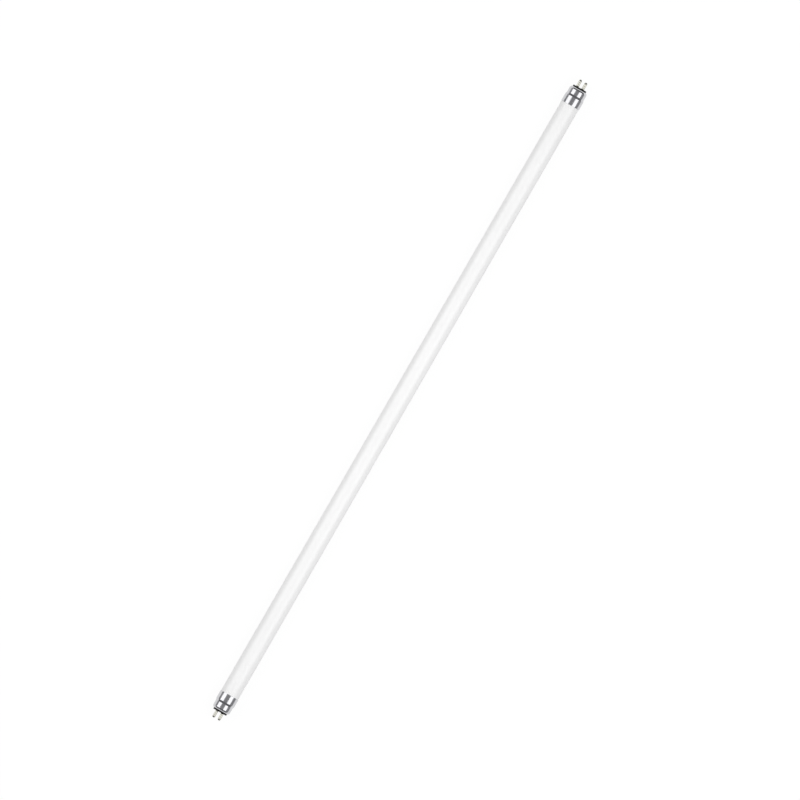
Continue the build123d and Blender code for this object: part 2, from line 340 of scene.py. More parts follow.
def grained(name, first, second, grain_mm, rough, relief_mm, stretch=(1.0, 1.0, 1.0), **constants):
    """A material whose colour, roughness and relief follow one grain of a real size."""
    material, tree, shader, where = new_material(name, **constants)
    laid = add_node(tree, "ShaderNodeMapping", {"Vector": where, "Scale": stretch})
    grain = add_node(
        tree,
        "ShaderNodeTexNoise",
        {"Vector": laid.outputs["Vector"], "Scale": per_mm(grain_mm), "Detail": 3.0},
    ).outputs["Fac"]
    tint = add_node(
        tree,
        "ShaderNodeMix",
        {"Factor_Float": grain, "A_Color": paint(first), "B_Color": paint(second)},
        data_type="RGBA",
    ).outputs[2]
    dull = add_node(
        tree,
        "ShaderNodeMapRange",
        {"Value": grain, "From Min": 0.3, "From Max": 0.7, "To Min": rough[0], "To Max": rough[1]},
    ).outputs["Result"]
    dress(tree, shader, tint, dull, grain, 0.5, relief_mm)
    return material, tree, shader, where, tint, dull


def beyond(tree, where, axis, middles, reach):
    """1 where an axis is further than a reach from every middle, all in millimetres."""
    along = add_node(tree, "ShaderNodeSeparateXYZ", {"Vector": where}).outputs[axis]
    nearest = None
    for middle in middles:
        off = add_node(tree, "ShaderNodeMath", {0: along, 1: middle * MM}, operation="SUBTRACT")
        away = add_node(
            tree, "ShaderNodeMath", {0: off.outputs["Value"]}, operation="ABSOLUTE"
        ).outputs["Value"]
        if nearest:
            away = add_node(
                tree, "ShaderNodeMath", {0: away, 1: nearest}, operation="MINIMUM"
            ).outputs["Value"]
        nearest = away
    return add_node(
        tree, "ShaderNodeMath", {0: nearest, 1: reach * MM}, operation="GREATER_THAN"
    ).outputs["Value"]


def bare_metal_ends(tree, shader, tint, dull, ends):
    """Bare tinned metal where ends is 1, and the coat or moulding elsewhere."""
    tinted = add_node(
        tree,
        "ShaderNodeMix",
        {"Factor_Float": ends, "A_Color": tint, "B_Color": paint("#CECDC8")},
        data_type="RGBA",
    )
    dulled = add_node(
        tree,
        "ShaderNodeMix",
        {"Factor_Float": ends, "A_Float": dull, "B_Float": 0.3},
        data_type="FLOAT",
    )
    tree.links.new(tinted.outputs[2], shader.inputs["Base Color"])
    tree.links.new(dulled.outputs[0], shader.inputs["Roughness"])
    tree.links.new(ends, shader.inputs["Metallic"])


def chalky_cement():
    """Resin cement full of chalk, pressed in and baked: matt, off-white, with pits of 0.5 mm."""
    return grained(
        "baked_resin_cement", "#CBC5B3", "#DDD8C8", 0.5, (0.82, 0.95), 0.04, IOR=1.5
    )[0]


def tinned_wire():
    """Copper wire, tinned and drawn: bright, with lines along it.

    The lines are 0.03 mm wide, drawn at 0.15 mm so that they show.
    """
    return grained(
        "tinned_copper",
        "#C6C6C2",
        "#D8D8D3",
        0.15,
        (0.2, 0.38),
        0.01,
        stretch=(0.1, 1.0, 1.0),
        Metallic=1.0,
    )[0]


def silicone_bead():
    """Neutral-cure silicone, run out as a bead and pressed flat: milky, ripples 2.5 mm apart."""
    return grained(
        "milky_silicone",
        "#DFDFDA",
        "#ECECE8",
        2.5,
        (0.3, 0.45),
        0.08,
        stretch=(0.4, 1.0, 1.0),
        IOR=1.41,
    )[0]


def led_body():
    """Polyamide moulded white with titania: bright and satin.

    The grain of its skin is 0.05 mm, drawn at 0.3 mm so that it shows.
    """
    return grained(
        "white_moulded_housing", "#ECEAE2", "#F4F3ED", 0.3, (0.35, 0.5), 0.006, IOR=1.53
    )[0]


def phosphor_window():
    """Clear silicone gel full of yellow phosphor: glossy and sandy.

    Its grains are 0.02 mm, drawn at 0.06 mm so that they show.
    """
    return grained(
        "yellow_phosphor_gel", "#E0B23C", "#F2D169", 0.06, (0.1, 0.18), 0.004, IOR=1.41
    )[0]


def potted_box():
    """Film capacitor in a moulded box, filled with epoxy: glossy ochre, flow marks of 1.2 mm."""
    return grained(
        "ochre_potted_box", "#B58523", "#C79635", 1.2, (0.25, 0.4), 0.02, IOR=1.55
    )[0]


def white_board():
    """Glass-cloth board under white solder mask: satin, its copper lands raised a little.

    The cloth's threads lie 0.6 mm apart and show faintly through the mask.
    """
    material, tree, shader, where, tint, _ = grained(
        "white_masked_board", "#E6E6E0", "#F0F0EB", 0.6, (0.35, 0.5), 0.01, IOR=1.5
    )
    # A gap parts the copper lands under the middle of every LED package
    along = add_node(tree, "ShaderNodeSeparateXYZ", {"Vector": where}).outputs["X"]
    pitches = add_node(
        tree, "ShaderNodeMath", {0: along, 1: per_mm(LED_PITCH)}, operation="MULTIPLY"
    )
    share = add_node(tree, "ShaderNodeMath", {0: pitches.outputs["Value"]}, operation="FRACT")
    off = add_node(
        tree, "ShaderNodeMath", {0: share.outputs["Value"], 1: 0.5}, operation="SUBTRACT"
    )
    away = add_node(tree, "ShaderNodeMath", {0: off.outputs["Value"]}, operation="ABSOLUTE")
    copper = add_node(
        tree,
        "ShaderNodeMath",
        {0: away.outputs["Value"], 1: LAND_GAP_SHARE},
        operation="GREATER_THAN",
    ).outputs["Value"]
    edge = beyond(tree, where, "Y", (0.0,), LAND_HALF_WIDTH)
    land = add_node(
        tree, "ShaderNodeMath", {0: copper, 1: edge}, operation="GREATER_THAN"
    ).outputs["Value"]
    raised = add_node(
        tree,
        "ShaderNodeBump",
        {"Height": land, "Strength": 0.6, "Distance": COPPER_THICKNESS * MM},
    )
    shade = add_node(
        tree,
        "ShaderNodeMix",
        {"Factor_Float": land, "A_Color": paint("#D9D9CF"), "B_Color": tint},
        data_type="RGBA",
    )
    tree.links.new(shade.outputs[2], shader.inputs["Base Color"])
    tree.links.new(raised.outputs["Normal"], shader.inputs["Normal"])
    return material


def green_board():
    """Glass-cloth board under green solder mask: copper tracks show lighter and a little raised.

    The cloth's threads lie 0.5 mm apart and show faintly through the mask.
    """
    material, tree, shader, where, tint, _ = grained(
        "green_masked_board", "#164A2E", "#1D5A39", 0.5, (0.28, 0.42), 0.01, IOR=1.5
    )
    # Tracks 0.7 mm wide lie in rows along the board, and each length of a row has one or is blank
    scaled = add_node(
        tree,
        "ShaderNodeMapping",
        {"Vector": where, "Scale": (per_mm(TRACK_LENGTH), per_mm(TRACK_SPACING), 0.0)},
    ).outputs["Vector"]
    cell = add_node(tree, "ShaderNodeVectorMath", {0: scaled}, operation="FLOOR")
    chance = add_node(
        tree, "ShaderNodeTexWhiteNoise", {"Vector": cell.outputs["Vector"]}, noise_dimensions="3D"
    )
    laid = add_node(
        tree,
        "ShaderNodeMath",
        {0: chance.outputs["Value"], 1: TRACK_BLANK_SHARE},
        operation="GREATER_THAN",
    )
    part = add_node(tree, "ShaderNodeVectorMath", {0: scaled}, operation="FRACTION")
    across = add_node(tree, "ShaderNodeSeparateXYZ", {"Vector": part.outputs["Vector"]})
    off = add_node(tree, "ShaderNodeMath", {0: across.outputs["Y"], 1: 0.5}, operation="SUBTRACT")
    away = add_node(tree, "ShaderNodeMath", {0: off.outputs["Value"]}, operation="ABSOLUTE")
    narrow = add_node(
        tree,
        "ShaderNodeMath",
        {0: away.outputs["Value"], 1: TRACK_HALF_SHARE},
        operation="LESS_THAN",
    )
    tracks = add_node(
        tree,
        "ShaderNodeMath",
        {0: laid.outputs["Value"], 1: narrow.outputs["Value"]},
        operation="MULTIPLY",
    ).outputs["Value"]
    shade = add_node(
        tree,
        "ShaderNodeMix",
        {"Factor_Float": tracks, "A_Color": tint, "B_Color": paint("#2E7D4C")},
        data_type="RGBA",
    )
    raised = add_node(
        tree,
        "ShaderNodeBump",
        {"Height": tracks, "Strength": 0.6, "Distance": COPPER_THICKNESS * MM},
    )
    tree.links.new(shade.outputs[2], shader.inputs["Base Color"])
    tree.links.new(raised.outputs["Normal"], shader.inputs["Normal"])
    return material


def dipped_resistor():
    """Fusible resistor in a dipped flameproof coat: matt blue-green, colour rings, bare wires.

    The coat dries with dimples of 0.35 mm.
    """
    material, tree, shader, where, tint, dull = grained(
        "dipped_flameproof_coat", "#587E76", "#6B938A", 0.35, (0.55, 0.75), 0.02, IOR=1.5
    )
    for ring, middle in FUSE_RINGS:
        outside = beyond(tree, where, "X", (middle,), FUSE_RING_HALF_WIDTH)
        tint = add_node(
            tree,
            "ShaderNodeMix",
            {"Factor_Float": outside, "A_Color": paint(ring), "B_Color": tint},
            data_type="RGBA",
        ).outputs[2]
    ends = beyond(tree, where, "X", (FUSE_X,), FUSE_HALF_BODY)
    bare_metal_ends(tree, shader, tint, dull, ends)
    return material


def sleeved_can():
    """Aluminium can in a shrunk dark sleeve with one pale stripe: glossy, bare metal ends.

    The sleeve shrinks with ripples 1.5 mm apart.
    """
    material, tree, shader, where, tint, dull = grained(
        "shrunk_polyester_sleeve", "#15161B", "#20222A", 1.5, (0.18, 0.32), 0.03, IOR=1.57
    )
    plain_side = beyond(tree, where, "Y", (CAN_STRIPE_Y,), CAN_STRIPE_HALF_WIDTH)
    striped = add_node(
        tree,
        "ShaderNodeMix",
        {"Factor_Float": plain_side, "A_Color": paint("#A9ADB6"), "B_Color": tint},
        data_type="RGBA",
    ).outputs[2]
    ends = beyond(tree, where, "X", (CAN_X,), CAN_HALF_SLEEVE)
    bare_metal_ends(tree, shader, striped, dull, ends)
    return material


def pressed_choke():
    """Iron powder pressed round a coil: dark grey and sandy, on tinned clips.

    Its grains are 0.1 mm, drawn at 0.25 mm so that they show.
    """
    material, tree, shader, where, tint, dull = grained(
        "pressed_iron_powder", "#323234", "#454547", 0.25, (0.6, 0.8), 0.02, IOR=1.6
    )
    ends = beyond(tree, where, "X", (CHOKE_X,), CHOKE_HALF_BODY)
    bare_metal_ends(tree, shader, tint, dull, ends)
    return material


def moulded_chip(name, axis, middles, reach):
    """Chip moulded in black epoxy with silica: dull body, tinned leads beside it.

    The silica's grain is 0.05 mm, drawn at 0.15 mm so that it shows.
    """
    material, tree, shader, where, tint, dull = grained(
        name, "#151516", "#1F1F21", 0.15, (0.5, 0.66), 0.01, IOR=1.55
    )
    bare_metal_ends(tree, shader, tint, dull, beyond(tree, where, axis, middles, reach))
    return material


def glazed_resistor(name, middles, reach):
    """Film resistor on alumina under black glass: glossy, ripples of 0.2 mm, tinned ends."""
    material, tree, shader, where, tint, dull = grained(
        name, "#121213", "#1A1A1C", 0.2, (0.2, 0.35), 0.006, IOR=1.52
    )
    bare_metal_ends(tree, shader, tint, dull, beyond(tree, where, "X", middles, reach))
    return material


# Geometry Nodes trees, and how a tree's result becomes a piece


def new_tree(name, labels, output):
    """A Geometry Nodes tree with named inputs and one output, and the sockets of its inputs."""
    tree = bpy.data.node_groups.new(name, "GeometryNodeTree")
    for label, kind in labels:
        tree.interface.new_socket(label, in_out="INPUT", socket_type=f"NodeSocket{kind}")
    tree.interface.new_socket(output, in_out="OUTPUT", socket_type="NodeSocketGeometry")
    return tree, add_node(tree, "NodeGroupInput").outputs


def realized(tree, geometry, finish):
    """Real geometry in its finish, which is how every tree ends."""
    real = add_node(tree, "GeometryNodeRealizeInstances", {"Geometry": geometry})
    return add_node(
        tree,
        "GeometryNodeSetMaterial",
        {"Geometry": real.outputs["Geometry"], "Material": finish},
    ).outputs["Geometry"]


def turned_tree(name):
    """Geometry Nodes that turn an outline round X, with its corners rounded first."""
    tree, given = new_tree(
        name,
        (
            ("Outline", "Geometry"),
            ("Steps round", "Int"),
            ("Steps in a corner", "Int"),
            ("Finish", "Material"),
        ),
        "Turned",
    )
    corner = add_node(
        tree, "GeometryNodeInputNamedAttribute", {"Name": "corner_radius"}, data_type="FLOAT"
    )
    line = add_node(tree, "GeometryNodeMeshToCurve", {"Mesh": given["Outline"]})
    rounded = add_node(
        tree,
        "GeometryNodeFilletCurve",
        {
            "Curve": line.outputs["Curve"],
            "Count": given["Steps in a corner"],
            "Radius": corner.outputs["Attribute"],
            "Limit Radius": True,
        },
        mode="POLY",
    )
    rail = add_node(
        tree,
        "GeometryNodeCurvePrimitiveCircle",
        {"Resolution": given["Steps round"], "Radius": MM},
        mode="RADIUS",
    )
    swept = add_node(
        tree,
        "GeometryNodeCurveToMesh",
        {"Curve": rail.outputs["Curve"], "Profile Curve": rounded.outputs["Curve"]},
    )
    lying = add_node(
        tree,
        "GeometryNodeTransform",
        {"Geometry": swept.outputs["Mesh"], "Rotation": (0.0, radians(90), 0.0)},
    )
    merged = add_node(
        tree,
        "GeometryNodeMergeByDistance",
        {"Geometry": lying.outputs["Geometry"], "Distance": MERGE_DISTANCE * MM},
    )
    piece = realized(tree, merged.outputs["Geometry"], given["Finish"])
    add_node(tree, "NodeGroupOutput", {"Turned": piece})
    return tree


def pin_plate_tree(name, turned_group):
    """Geometry Nodes that turn the disc and boss, add the oblong block and bore the pin holes."""
    tree, given = new_tree(
        name,
        (
            ("Outline", "Geometry"),
            ("Steps round", "Int"),
            ("Steps in a corner", "Int"),
            ("Steps round a post", "Int"),
            ("Pin spacing", "Float"),
            ("Hole radius", "Float"),
            ("Block radius", "Float"),
            ("Block back", "Float"),
            ("Block front", "Float"),
            ("Boss face", "Float"),
            ("Finish", "Material"),
        ),
        "Plate",
    )
    shared = ("Outline", "Steps round", "Steps in a corner", "Finish")
    disc = add_node(
        tree,
        "GeometryNodeGroup",
        {label: given[label] for label in shared},
        node_tree=turned_group,
    )
    half = add_node(
        tree, "ShaderNodeMath", {0: given["Pin spacing"], 1: -0.5}, operation="MULTIPLY"
    )
    start = add_node(tree, "ShaderNodeCombineXYZ", {"Y": half.outputs["Value"]})
    gap = add_node(tree, "ShaderNodeCombineXYZ", {"Y": given["Pin spacing"]})
    places = add_node(
        tree,
        "GeometryNodeMeshLine",
        {"Count": 2, "Start Location": start.outputs["Vector"], "Offset": gap.outputs["Vector"]},
        mode="OFFSET",
    )

    def posts(radius, back, front):
        """Two round posts on the pins' axes, from one station to another."""
        depth = add_node(tree, "ShaderNodeMath", {0: front, 1: back}, operation="SUBTRACT")
        both = add_node(tree, "ShaderNodeMath", {0: front, 1: back}, operation="ADD")
        middle = add_node(
            tree, "ShaderNodeMath", {0: both.outputs["Value"], 1: 0.5}, operation="MULTIPLY"
        )
        post = add_node(
            tree,
            "GeometryNodeMeshCylinder",
            {
                "Vertices": given["Steps round a post"],
                "Radius": radius,
                "Depth": depth.outputs["Value"],
            },
        )
        shift = add_node(tree, "ShaderNodeCombineXYZ", {"X": middle.outputs["Value"]})
        lying = add_node(
            tree,
            "GeometryNodeTransform",
            {
                "Geometry": post.outputs["Mesh"],
                "Translation": shift.outputs["Vector"],
                "Rotation": (0.0, radians(90), 0.0),
            },
        )
        pair = add_node(
            tree,
            "GeometryNodeInstanceOnPoints",
            {"Points": places.outputs["Mesh"], "Instance": lying.outputs["Geometry"]},
        )
        return add_node(
            tree, "GeometryNodeRealizeInstances", {"Geometry": pair.outputs["Instances"]}
        ).outputs["Geometry"]

    block_posts = posts(given["Block radius"], given["Block back"], given["Block front"])
    block = add_node(tree, "GeometryNodeConvexHull", {"Geometry": block_posts})
    joined = add_node(tree, "GeometryNodeMeshBoolean", operation="UNION", solver="EXACT")
    tree.links.new(disc.outputs["Turned"], joined.inputs["Mesh 2"])
    tree.links.new(block.outputs["Convex Hull"], joined.inputs["Mesh 2"])
    holes = posts(given["Hole radius"], given["Block back"], given["Boss face"])
    bored = add_node(
        tree,
        "GeometryNodeMeshBoolean",
        {"Mesh 1": joined.outputs["Mesh"], "Mesh 2": holes},
        operation="DIFFERENCE",
        solver="EXACT",
    )
    piece = realized(tree, bored.outputs["Mesh"], given["Finish"])
    add_node(tree, "NodeGroupOutput", {"Plate": piece})
    return tree


def led_row_tree(name):
    """Geometry Nodes for a row of LED packages, each with a window sunk in its top."""
    tree, given = new_tree(
        name,
        (
            ("Count", "Int"),
            ("Pitch", "Float"),
            ("Board top", "Float"),
            ("Length", "Float"),
            ("Width", "Float"),
            ("Height", "Float"),
            ("Window share", "Float"),
            ("Window depth", "Float"),
            ("Window draft", "Float"),
            ("Body finish", "Material"),
            ("Window finish", "Material"),
        ),
        "Row",
    )
    size = add_node(
        tree,
        "ShaderNodeCombineXYZ",
        {"X": given["Length"], "Y": given["Width"], "Z": given["Height"]},
    )
    block = add_node(tree, "GeometryNodeMeshCube", {"Size": size.outputs["Vector"]})
    normal = add_node(tree, "GeometryNodeInputNormal").outputs["Normal"]
    facing = add_node(tree, "ShaderNodeSeparateXYZ", {"Vector": normal})
    top = add_node(
        tree, "ShaderNodeMath", {0: facing.outputs["Z"], 1: 0.9}, operation="GREATER_THAN"
    )
    # The face that points up gets a rim, and what lies inside the rim sinks and narrows
    rim = add_node(
        tree,
        "GeometryNodeExtrudeMesh",
        {"Mesh": block.outputs["Mesh"], "Selection": top.outputs["Value"], "Offset Scale": 0.0},
    )
    inset = add_node(
        tree,
        "GeometryNodeScaleElements",
        {
            "Geometry": rim.outputs["Mesh"],
            "Selection": rim.outputs["Top"],
            "Scale": given["Window share"],
        },
    )
    down = add_node(
        tree, "ShaderNodeMath", {0: given["Window depth"], 1: -1.0}, operation="MULTIPLY"
    )
    sunk = add_node(
        tree,
        "GeometryNodeExtrudeMesh",
        {
            "Mesh": inset.outputs["Geometry"],
            "Selection": rim.outputs["Top"],
            "Offset Scale": down.outputs["Value"],
        },
    )
    drafted = add_node(
        tree,
        "GeometryNodeScaleElements",
        {
            "Geometry": sunk.outputs["Mesh"],
            "Selection": sunk.outputs["Top"],
            "Scale": given["Window draft"],
        },
    )
    marked = add_node(
        tree,
        "GeometryNodeStoreNamedAttribute",
        {
            "Geometry": drafted.outputs["Geometry"],
            "Name": "window",
            "Value": sunk.outputs["Top"],
        },
        data_type="BOOLEAN",
        domain="FACE",
    )
    # The row is centred on the tube and stands on the board
    spaces = add_node(tree, "ShaderNodeMath", {0: given["Count"], 1: -1.0}, operation="ADD")
    half_run = add_node(
        tree, "ShaderNodeMath", {0: spaces.outputs["Value"], 1: -0.5}, operation="MULTIPLY"
    )
    start_x = add_node(
        tree,
        "ShaderNodeMath",
        {0: half_run.outputs["Value"], 1: given["Pitch"]},
        operation="MULTIPLY",
    )
    half_height = add_node(
        tree, "ShaderNodeMath", {0: given["Height"], 1: 0.5}, operation="MULTIPLY"
    )
    middle_z = add_node(
        tree,
        "ShaderNodeMath",
        {0: given["Board top"], 1: half_height.outputs["Value"]},
        operation="ADD",
    )
    start = add_node(
        tree,
        "ShaderNodeCombineXYZ",
        {"X": start_x.outputs["Value"], "Z": middle_z.outputs["Value"]},
    )
    pitch = add_node(tree, "ShaderNodeCombineXYZ", {"X": given["Pitch"]})
    places = add_node(
        tree,
        "GeometryNodeMeshLine",
        {
            "Count": given["Count"],
            "Start Location": start.outputs["Vector"],
            "Offset": pitch.outputs["Vector"],
        },
        mode="OFFSET",
    )
    row = add_node(
        tree,
        "GeometryNodeInstanceOnPoints",
        {"Points": places.outputs["Mesh"], "Instance": marked.outputs["Geometry"]},
    )
    bodies = realized(tree, row.outputs["Instances"], given["Body finish"])
    window = add_node(
        tree, "GeometryNodeInputNamedAttribute", {"Name": "window"}, data_type="BOOLEAN"
    )
    windows = add_node(
        tree,
        "GeometryNodeSetMaterial",
        {
            "Geometry": bodies,
            "Selection": window.outputs["Attribute"],
            "Material": given["Window finish"],
        },
    )
    add_node(tree, "NodeGroupOutput", {"Row": windows.outputs["Geometry"]})
    return tree


def outline_mesh(name, corners, closed):
    """Edges through (station, radius, corner radius), laid out as the turning tree reads them.

    The tree's rail is a circle of 1 mm, so each radius is given from there.
    """
    mesh = bpy.data.meshes.new(name)
    points = [((radius - 1) * MM, -station * MM, 0.0) for station, radius, _ in corners]
    edges = [(first, first + 1) for first in range(len(points) - 1)]
    if closed:
        edges.append((len(points) - 1, 0))
    mesh.from_pydata(points, edges, [])
    rounding = mesh.attributes.new("corner_radius", "FLOAT", "POINT")
    rounding.data.foreach_set("value", [corner * MM for _, _, corner in corners])
    return mesh


def plain_mesh(shaper, name):
    """What the modifier makes, as a plain mesh: doubles merged, faces outwards, corners sharp."""
    depsgraph = bpy.context.evaluated_depsgraph_get()
    mesh = bpy.data.meshes.new_from_object(shaper.evaluated_get(depsgraph))
    mesh.name = name
    shape = bmesh.new()
    shape.from_mesh(mesh)
    bmesh.ops.remove_doubles(shape, verts=shape.verts, dist=MERGE_DISTANCE * MM)
    bmesh.ops.recalc_face_normals(shape, faces=shape.faces)
    shape.to_mesh(mesh)
    shape.free()
    mesh.shade_smooth()
    mesh.set_sharp_from_angle(angle=radians(SHARP_ANGLE))
    bpy.data.objects.remove(shaper)
    return mesh


def grown(name, seed_mesh, tree, inputs):
    """Run a Geometry Nodes tree on a mesh and keep the result as a plain mesh."""
    shaper = bpy.data.objects.new(name, seed_mesh)
    bpy.context.scene.collection.objects.link(shaper)
    modifier = shaper.modifiers.new(name, "NODES")
    modifier.node_group = tree
    for item in tree.interface.items_tree:
        if item.name in inputs:
            modifier[item.identifier] = inputs[item.name]
    return plain_mesh(shaper, name)


def mirrored(mesh, name):
    """The same mesh for the left end, its faces turned back outwards."""
    other = mesh.copy()
    other.name = name
    other.transform(Matrix.Diagonal((-1, 1, 1, 1)))
    other.flip_normals()
    return other


def moved(mesh, name, offset):
    """The same mesh, further on by an offset."""
    other = mesh.copy()
    other.name = name
    other.transform(Matrix.Translation(offset))
    return other


def place(mesh, name, slot, *nodes):
    """Put a finished mesh in the scene as a piece that stands for CAD nodes."""
    piece = bpy.data.objects.new(name, mesh)
    bpy.context.scene.collection.objects.link(piece)
    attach(piece, "root")
    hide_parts(*nodes)


# Turned pieces, each from its outline: station, radius and corner radius in millimetres

turned = turned_tree("turned_round_axis")

glass_outline = [
    (-GLASS_END, GLASS_BORE_R, 0.2),
    (-GLASS_END, GLASS_R, 0.3),
    (GLASS_END, GLASS_R, 0.3),
    (GLASS_END, GLASS_BORE_R, 0.2),
]
glass = grown(
    "opal_tube",
    outline_mesh("opal_tube_outline", glass_outline, closed=True),
    turned,
    {"Steps round": 128, "Steps in a corner": 5, "Finish": opal_glass()},
)
place(glass, "opal_tube", "opal_glass", "glass_tube")

shell_outline = [
    (MOUTH, SKIRT_R, 0.1),
    (STEP_START - STEP_SPREAD, SKIRT_R, 0.5),
    (STEP_END + STEP_SPREAD, NOSE_R, 0.5),
    (BASE_FACE - SHOULDER_BACK, NOSE_R, 0.8),
    (BASE_FACE - KNEE_BACK, NOSE_R - KNEE_DROP, 0.5),
    (BASE_FACE, NOSE_R - FACE_DROP, 0.3),
    (BASE_FACE, OPENING_R, 0.08),
    (BASE_FACE - WALL, OPENING_R, 0.05),
    (BASE_FACE - WALL, NOSE_R - INNER_FACE_DROP, 0.15),
    (BASE_FACE - INNER_KNEE_BACK, NOSE_R - INNER_KNEE_DROP, 0.3),
    (BASE_FACE - SHOULDER_BACK, NOSE_R - WALL, 0.6),
    (STEP_END, NOSE_R - WALL, 1.0),
    (STEP_START, SKIRT_R - WALL, 0.6),
    (MOUTH, SKIRT_R - WALL, 0.05),
]
right_shell = grown(
    "right_drawn_shell",
    outline_mesh("shell_outline", shell_outline, closed=True),
    turned,
    {"Steps round": 128, "Steps in a corner": 8, "Finish": drawn_metal()},
)
left_shell = mirrored(right_shell, "left_drawn_shell")
place(right_shell, "right_drawn_shell", "drawn_shell", "right_end_shell")
place(left_shell, "left_drawn_shell", "drawn_shell", "left_end_shell")

pin_outline = [
    (SOCKET_BACK, 0.0, 0.0),
    (SOCKET_BACK, SHANK_R, 0.1),
    (BOSS_FACE, SHANK_R, 0.0),
    (BOSS_FACE, PIN_R, 0.04),
    (PIN_TIP - TAPER_LENGTH, PIN_R, 0.25),
    (PIN_TIP, PIN_R - TAPER_DROP, 0.03),
    (PIN_TIP, PIN_MOUTH_R, 0.01),
    (PIN_TIP - PIN_MOUTH_DEPTH, PIN_MOUTH_R, 0.12),
    (PIN_TIP - PIN_MOUTH_DEPTH, 0.0, 0.0),
]
pin = grown(
    "pin",
    outline_mesh("pin_outline", pin_outline, closed=False),
    turned,
    {"Steps round": 56, "Steps in a corner": 6, "Finish": plated_brass()},
)
for side, way in (("front", -1), ("rear", 1)):
    offset = Vector((0, way * PIN_SPACING / 2, 0)) * MM
    right_pin = moved(pin, f"right_{side}_contact", offset)
    left_pin = mirrored(right_pin, f"left_{side}_contact")
    place(right_pin, f"right_{side}_contact", "plated_pin", f"right_{side}_pin")
    place(left_pin, f"left_{side}_contact", "plated_pin", f"left_{side}_pin")

plate_outline = [
    (PLATE_BACK, 0.0, 0.0),
    (PLATE_BACK, PLATE_R, 0.15),
    (PLATE_FRONT - PLATE_CHAMFER, PLATE_R, 0.2),
    (PLATE_FRONT, PLATE_R - PLATE_CHAMFER, 0.15),
    (PLATE_FRONT, BOSS_R, 0.05),
    (BOSS_FACE, BOSS_R, 0.3),
    (BOSS_FACE, 0.0, 0.0),
]
# The block reaches this far into the disc, and the holes past the boss, in millimetres
overshoot = 0.5
right_plate = grown(
    "right_boss_plate",
    outline_mesh("plate_outline", plate_outline, closed=False),
    pin_plate_tree("pin_plate", turned),
    {
        "Steps round": 112,
        "Steps in a corner": 6,
        "Steps round a post": 48,
        "Pin spacing": PIN_SPACING * MM,
        "Hole radius": (SHANK_R + SHANK_CLEARANCE) * MM,
        "Block radius": SOCKET_WIDTH / 2 * MM,
        "Block back": SOCKET_BACK * MM,
        "Block front": (PLATE_BACK + overshoot) * MM,
        "Boss face": (BOSS_FACE + overshoot) * MM,
        "Finish": black_moulding(),
    },
)
left_plate = mirrored(right_plate, "left_boss_plate")
place(right_plate, "right_boss_plate", "black_moulding", "right_pin_plate")
place(left_plate, "left_boss_plate", "black_moulding", "left_pin_plate")

# The row of LED packages, all alike

led_row = grown(
    "led_row",
    bpy.data.meshes.new("led_row_seed"),
    led_row_tree("led_row"),
    {
        "Count": LED_COUNT,
        "Pitch": LED_PITCH * MM,
        "Board top": LED_BOARD_TOP * MM,
        "Length": LED_LENGTH * MM,
        "Width": LED_WIDTH * MM,
        "Height": LED_HEIGHT * MM,
        "Window share": LED_WINDOW_SHARE,
        "Window depth": LED_WINDOW_DEPTH * MM,
        "Window draft": LED_WINDOW_DRAFT,
        "Body finish": led_body(),
        "Window finish": phosphor_window(),
    },
)
place(led_row, "led_row", "led_package", "led_packages")

# Finishes of the CAD parts held inside the glass

tinned = tinned_wire()
cloth_board = green_board()
ochre_box = potted_box()
held_inside = {
    "cap_cement": chalky_cement(),
    "left_pin_leads": tinned,
    "right_pin_leads": tinned,
    "left_board_posts": tinned,
    "right_board_posts": tinned,
    "led_board": white_board(),
    "board_bead": silicone_bead(),
    "driver_board": cloth_board,
    "input_board": cloth_board,
    "fuse_resistor": dipped_resistor(),
    "smoothing_capacitor": sleeved_can(),
    "film_capacitor": ochre_box,
    "input_capacitors": ochre_box,
    "choke": pressed_choke(),
    "bridge_rectifier": moulded_chip("moulded_rectifier", "Y", (RECTIFIER_Y,), CHIP_HALF_BODY),
    "driver_chip": moulded_chip("moulded_driver_chip", "Y", (CHIP_Y,), CHIP_HALF_BODY),
    "chip_resistors": glazed_resistor(
        "glazed_chip_resistors", CHIP_RESISTORS_X, CHIP_RESISTOR_HALF_BODY
    ),
    "filament_resistors": glazed_resistor(
        "glazed_filament_resistors", FILAMENT_RESISTORS_X, FILAMENT_RESISTOR_HALF_BODY
    ),
}
for node, finish in held_inside.items():
    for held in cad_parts[node].material_slots:
        held.material = finish

# The camera, straight above the lying tube

right = Vector((sin(radians(LEAN_FROM_VERTICAL)), -cos(radians(LEAN_FROM_VERTICAL)), 0))
up = Vector((cos(radians(LEAN_FROM_VERTICAL)), sin(radians(LEAN_FROM_VERTICAL)), 0))
pixel = MM / PIXELS_PER_MM
camera_height = 0.5
camera_data = bpy.data.cameras.new("camera")
camera_data.type = "ORTHO"
camera_data.ortho_scale = PHOTO_PIXELS * pixel
camera_data.clip_end = 10.0
camera = bpy.data.objects.new("camera", camera_data)
camera.location = -pixel * (MIDDLE_RIGHT_PIXELS * right + MIDDLE_UP_PIXELS * up)
camera.location.z = camera_height
camera.rotation_euler = (0, 0, radians(LEAN_FROM_VERTICAL - 90))
bpy.context.scene.collection.objects.link(camera)
bpy.context.scene.camera = camera

# The studio: long softboxes in a grey tent, and white paper on a pale table


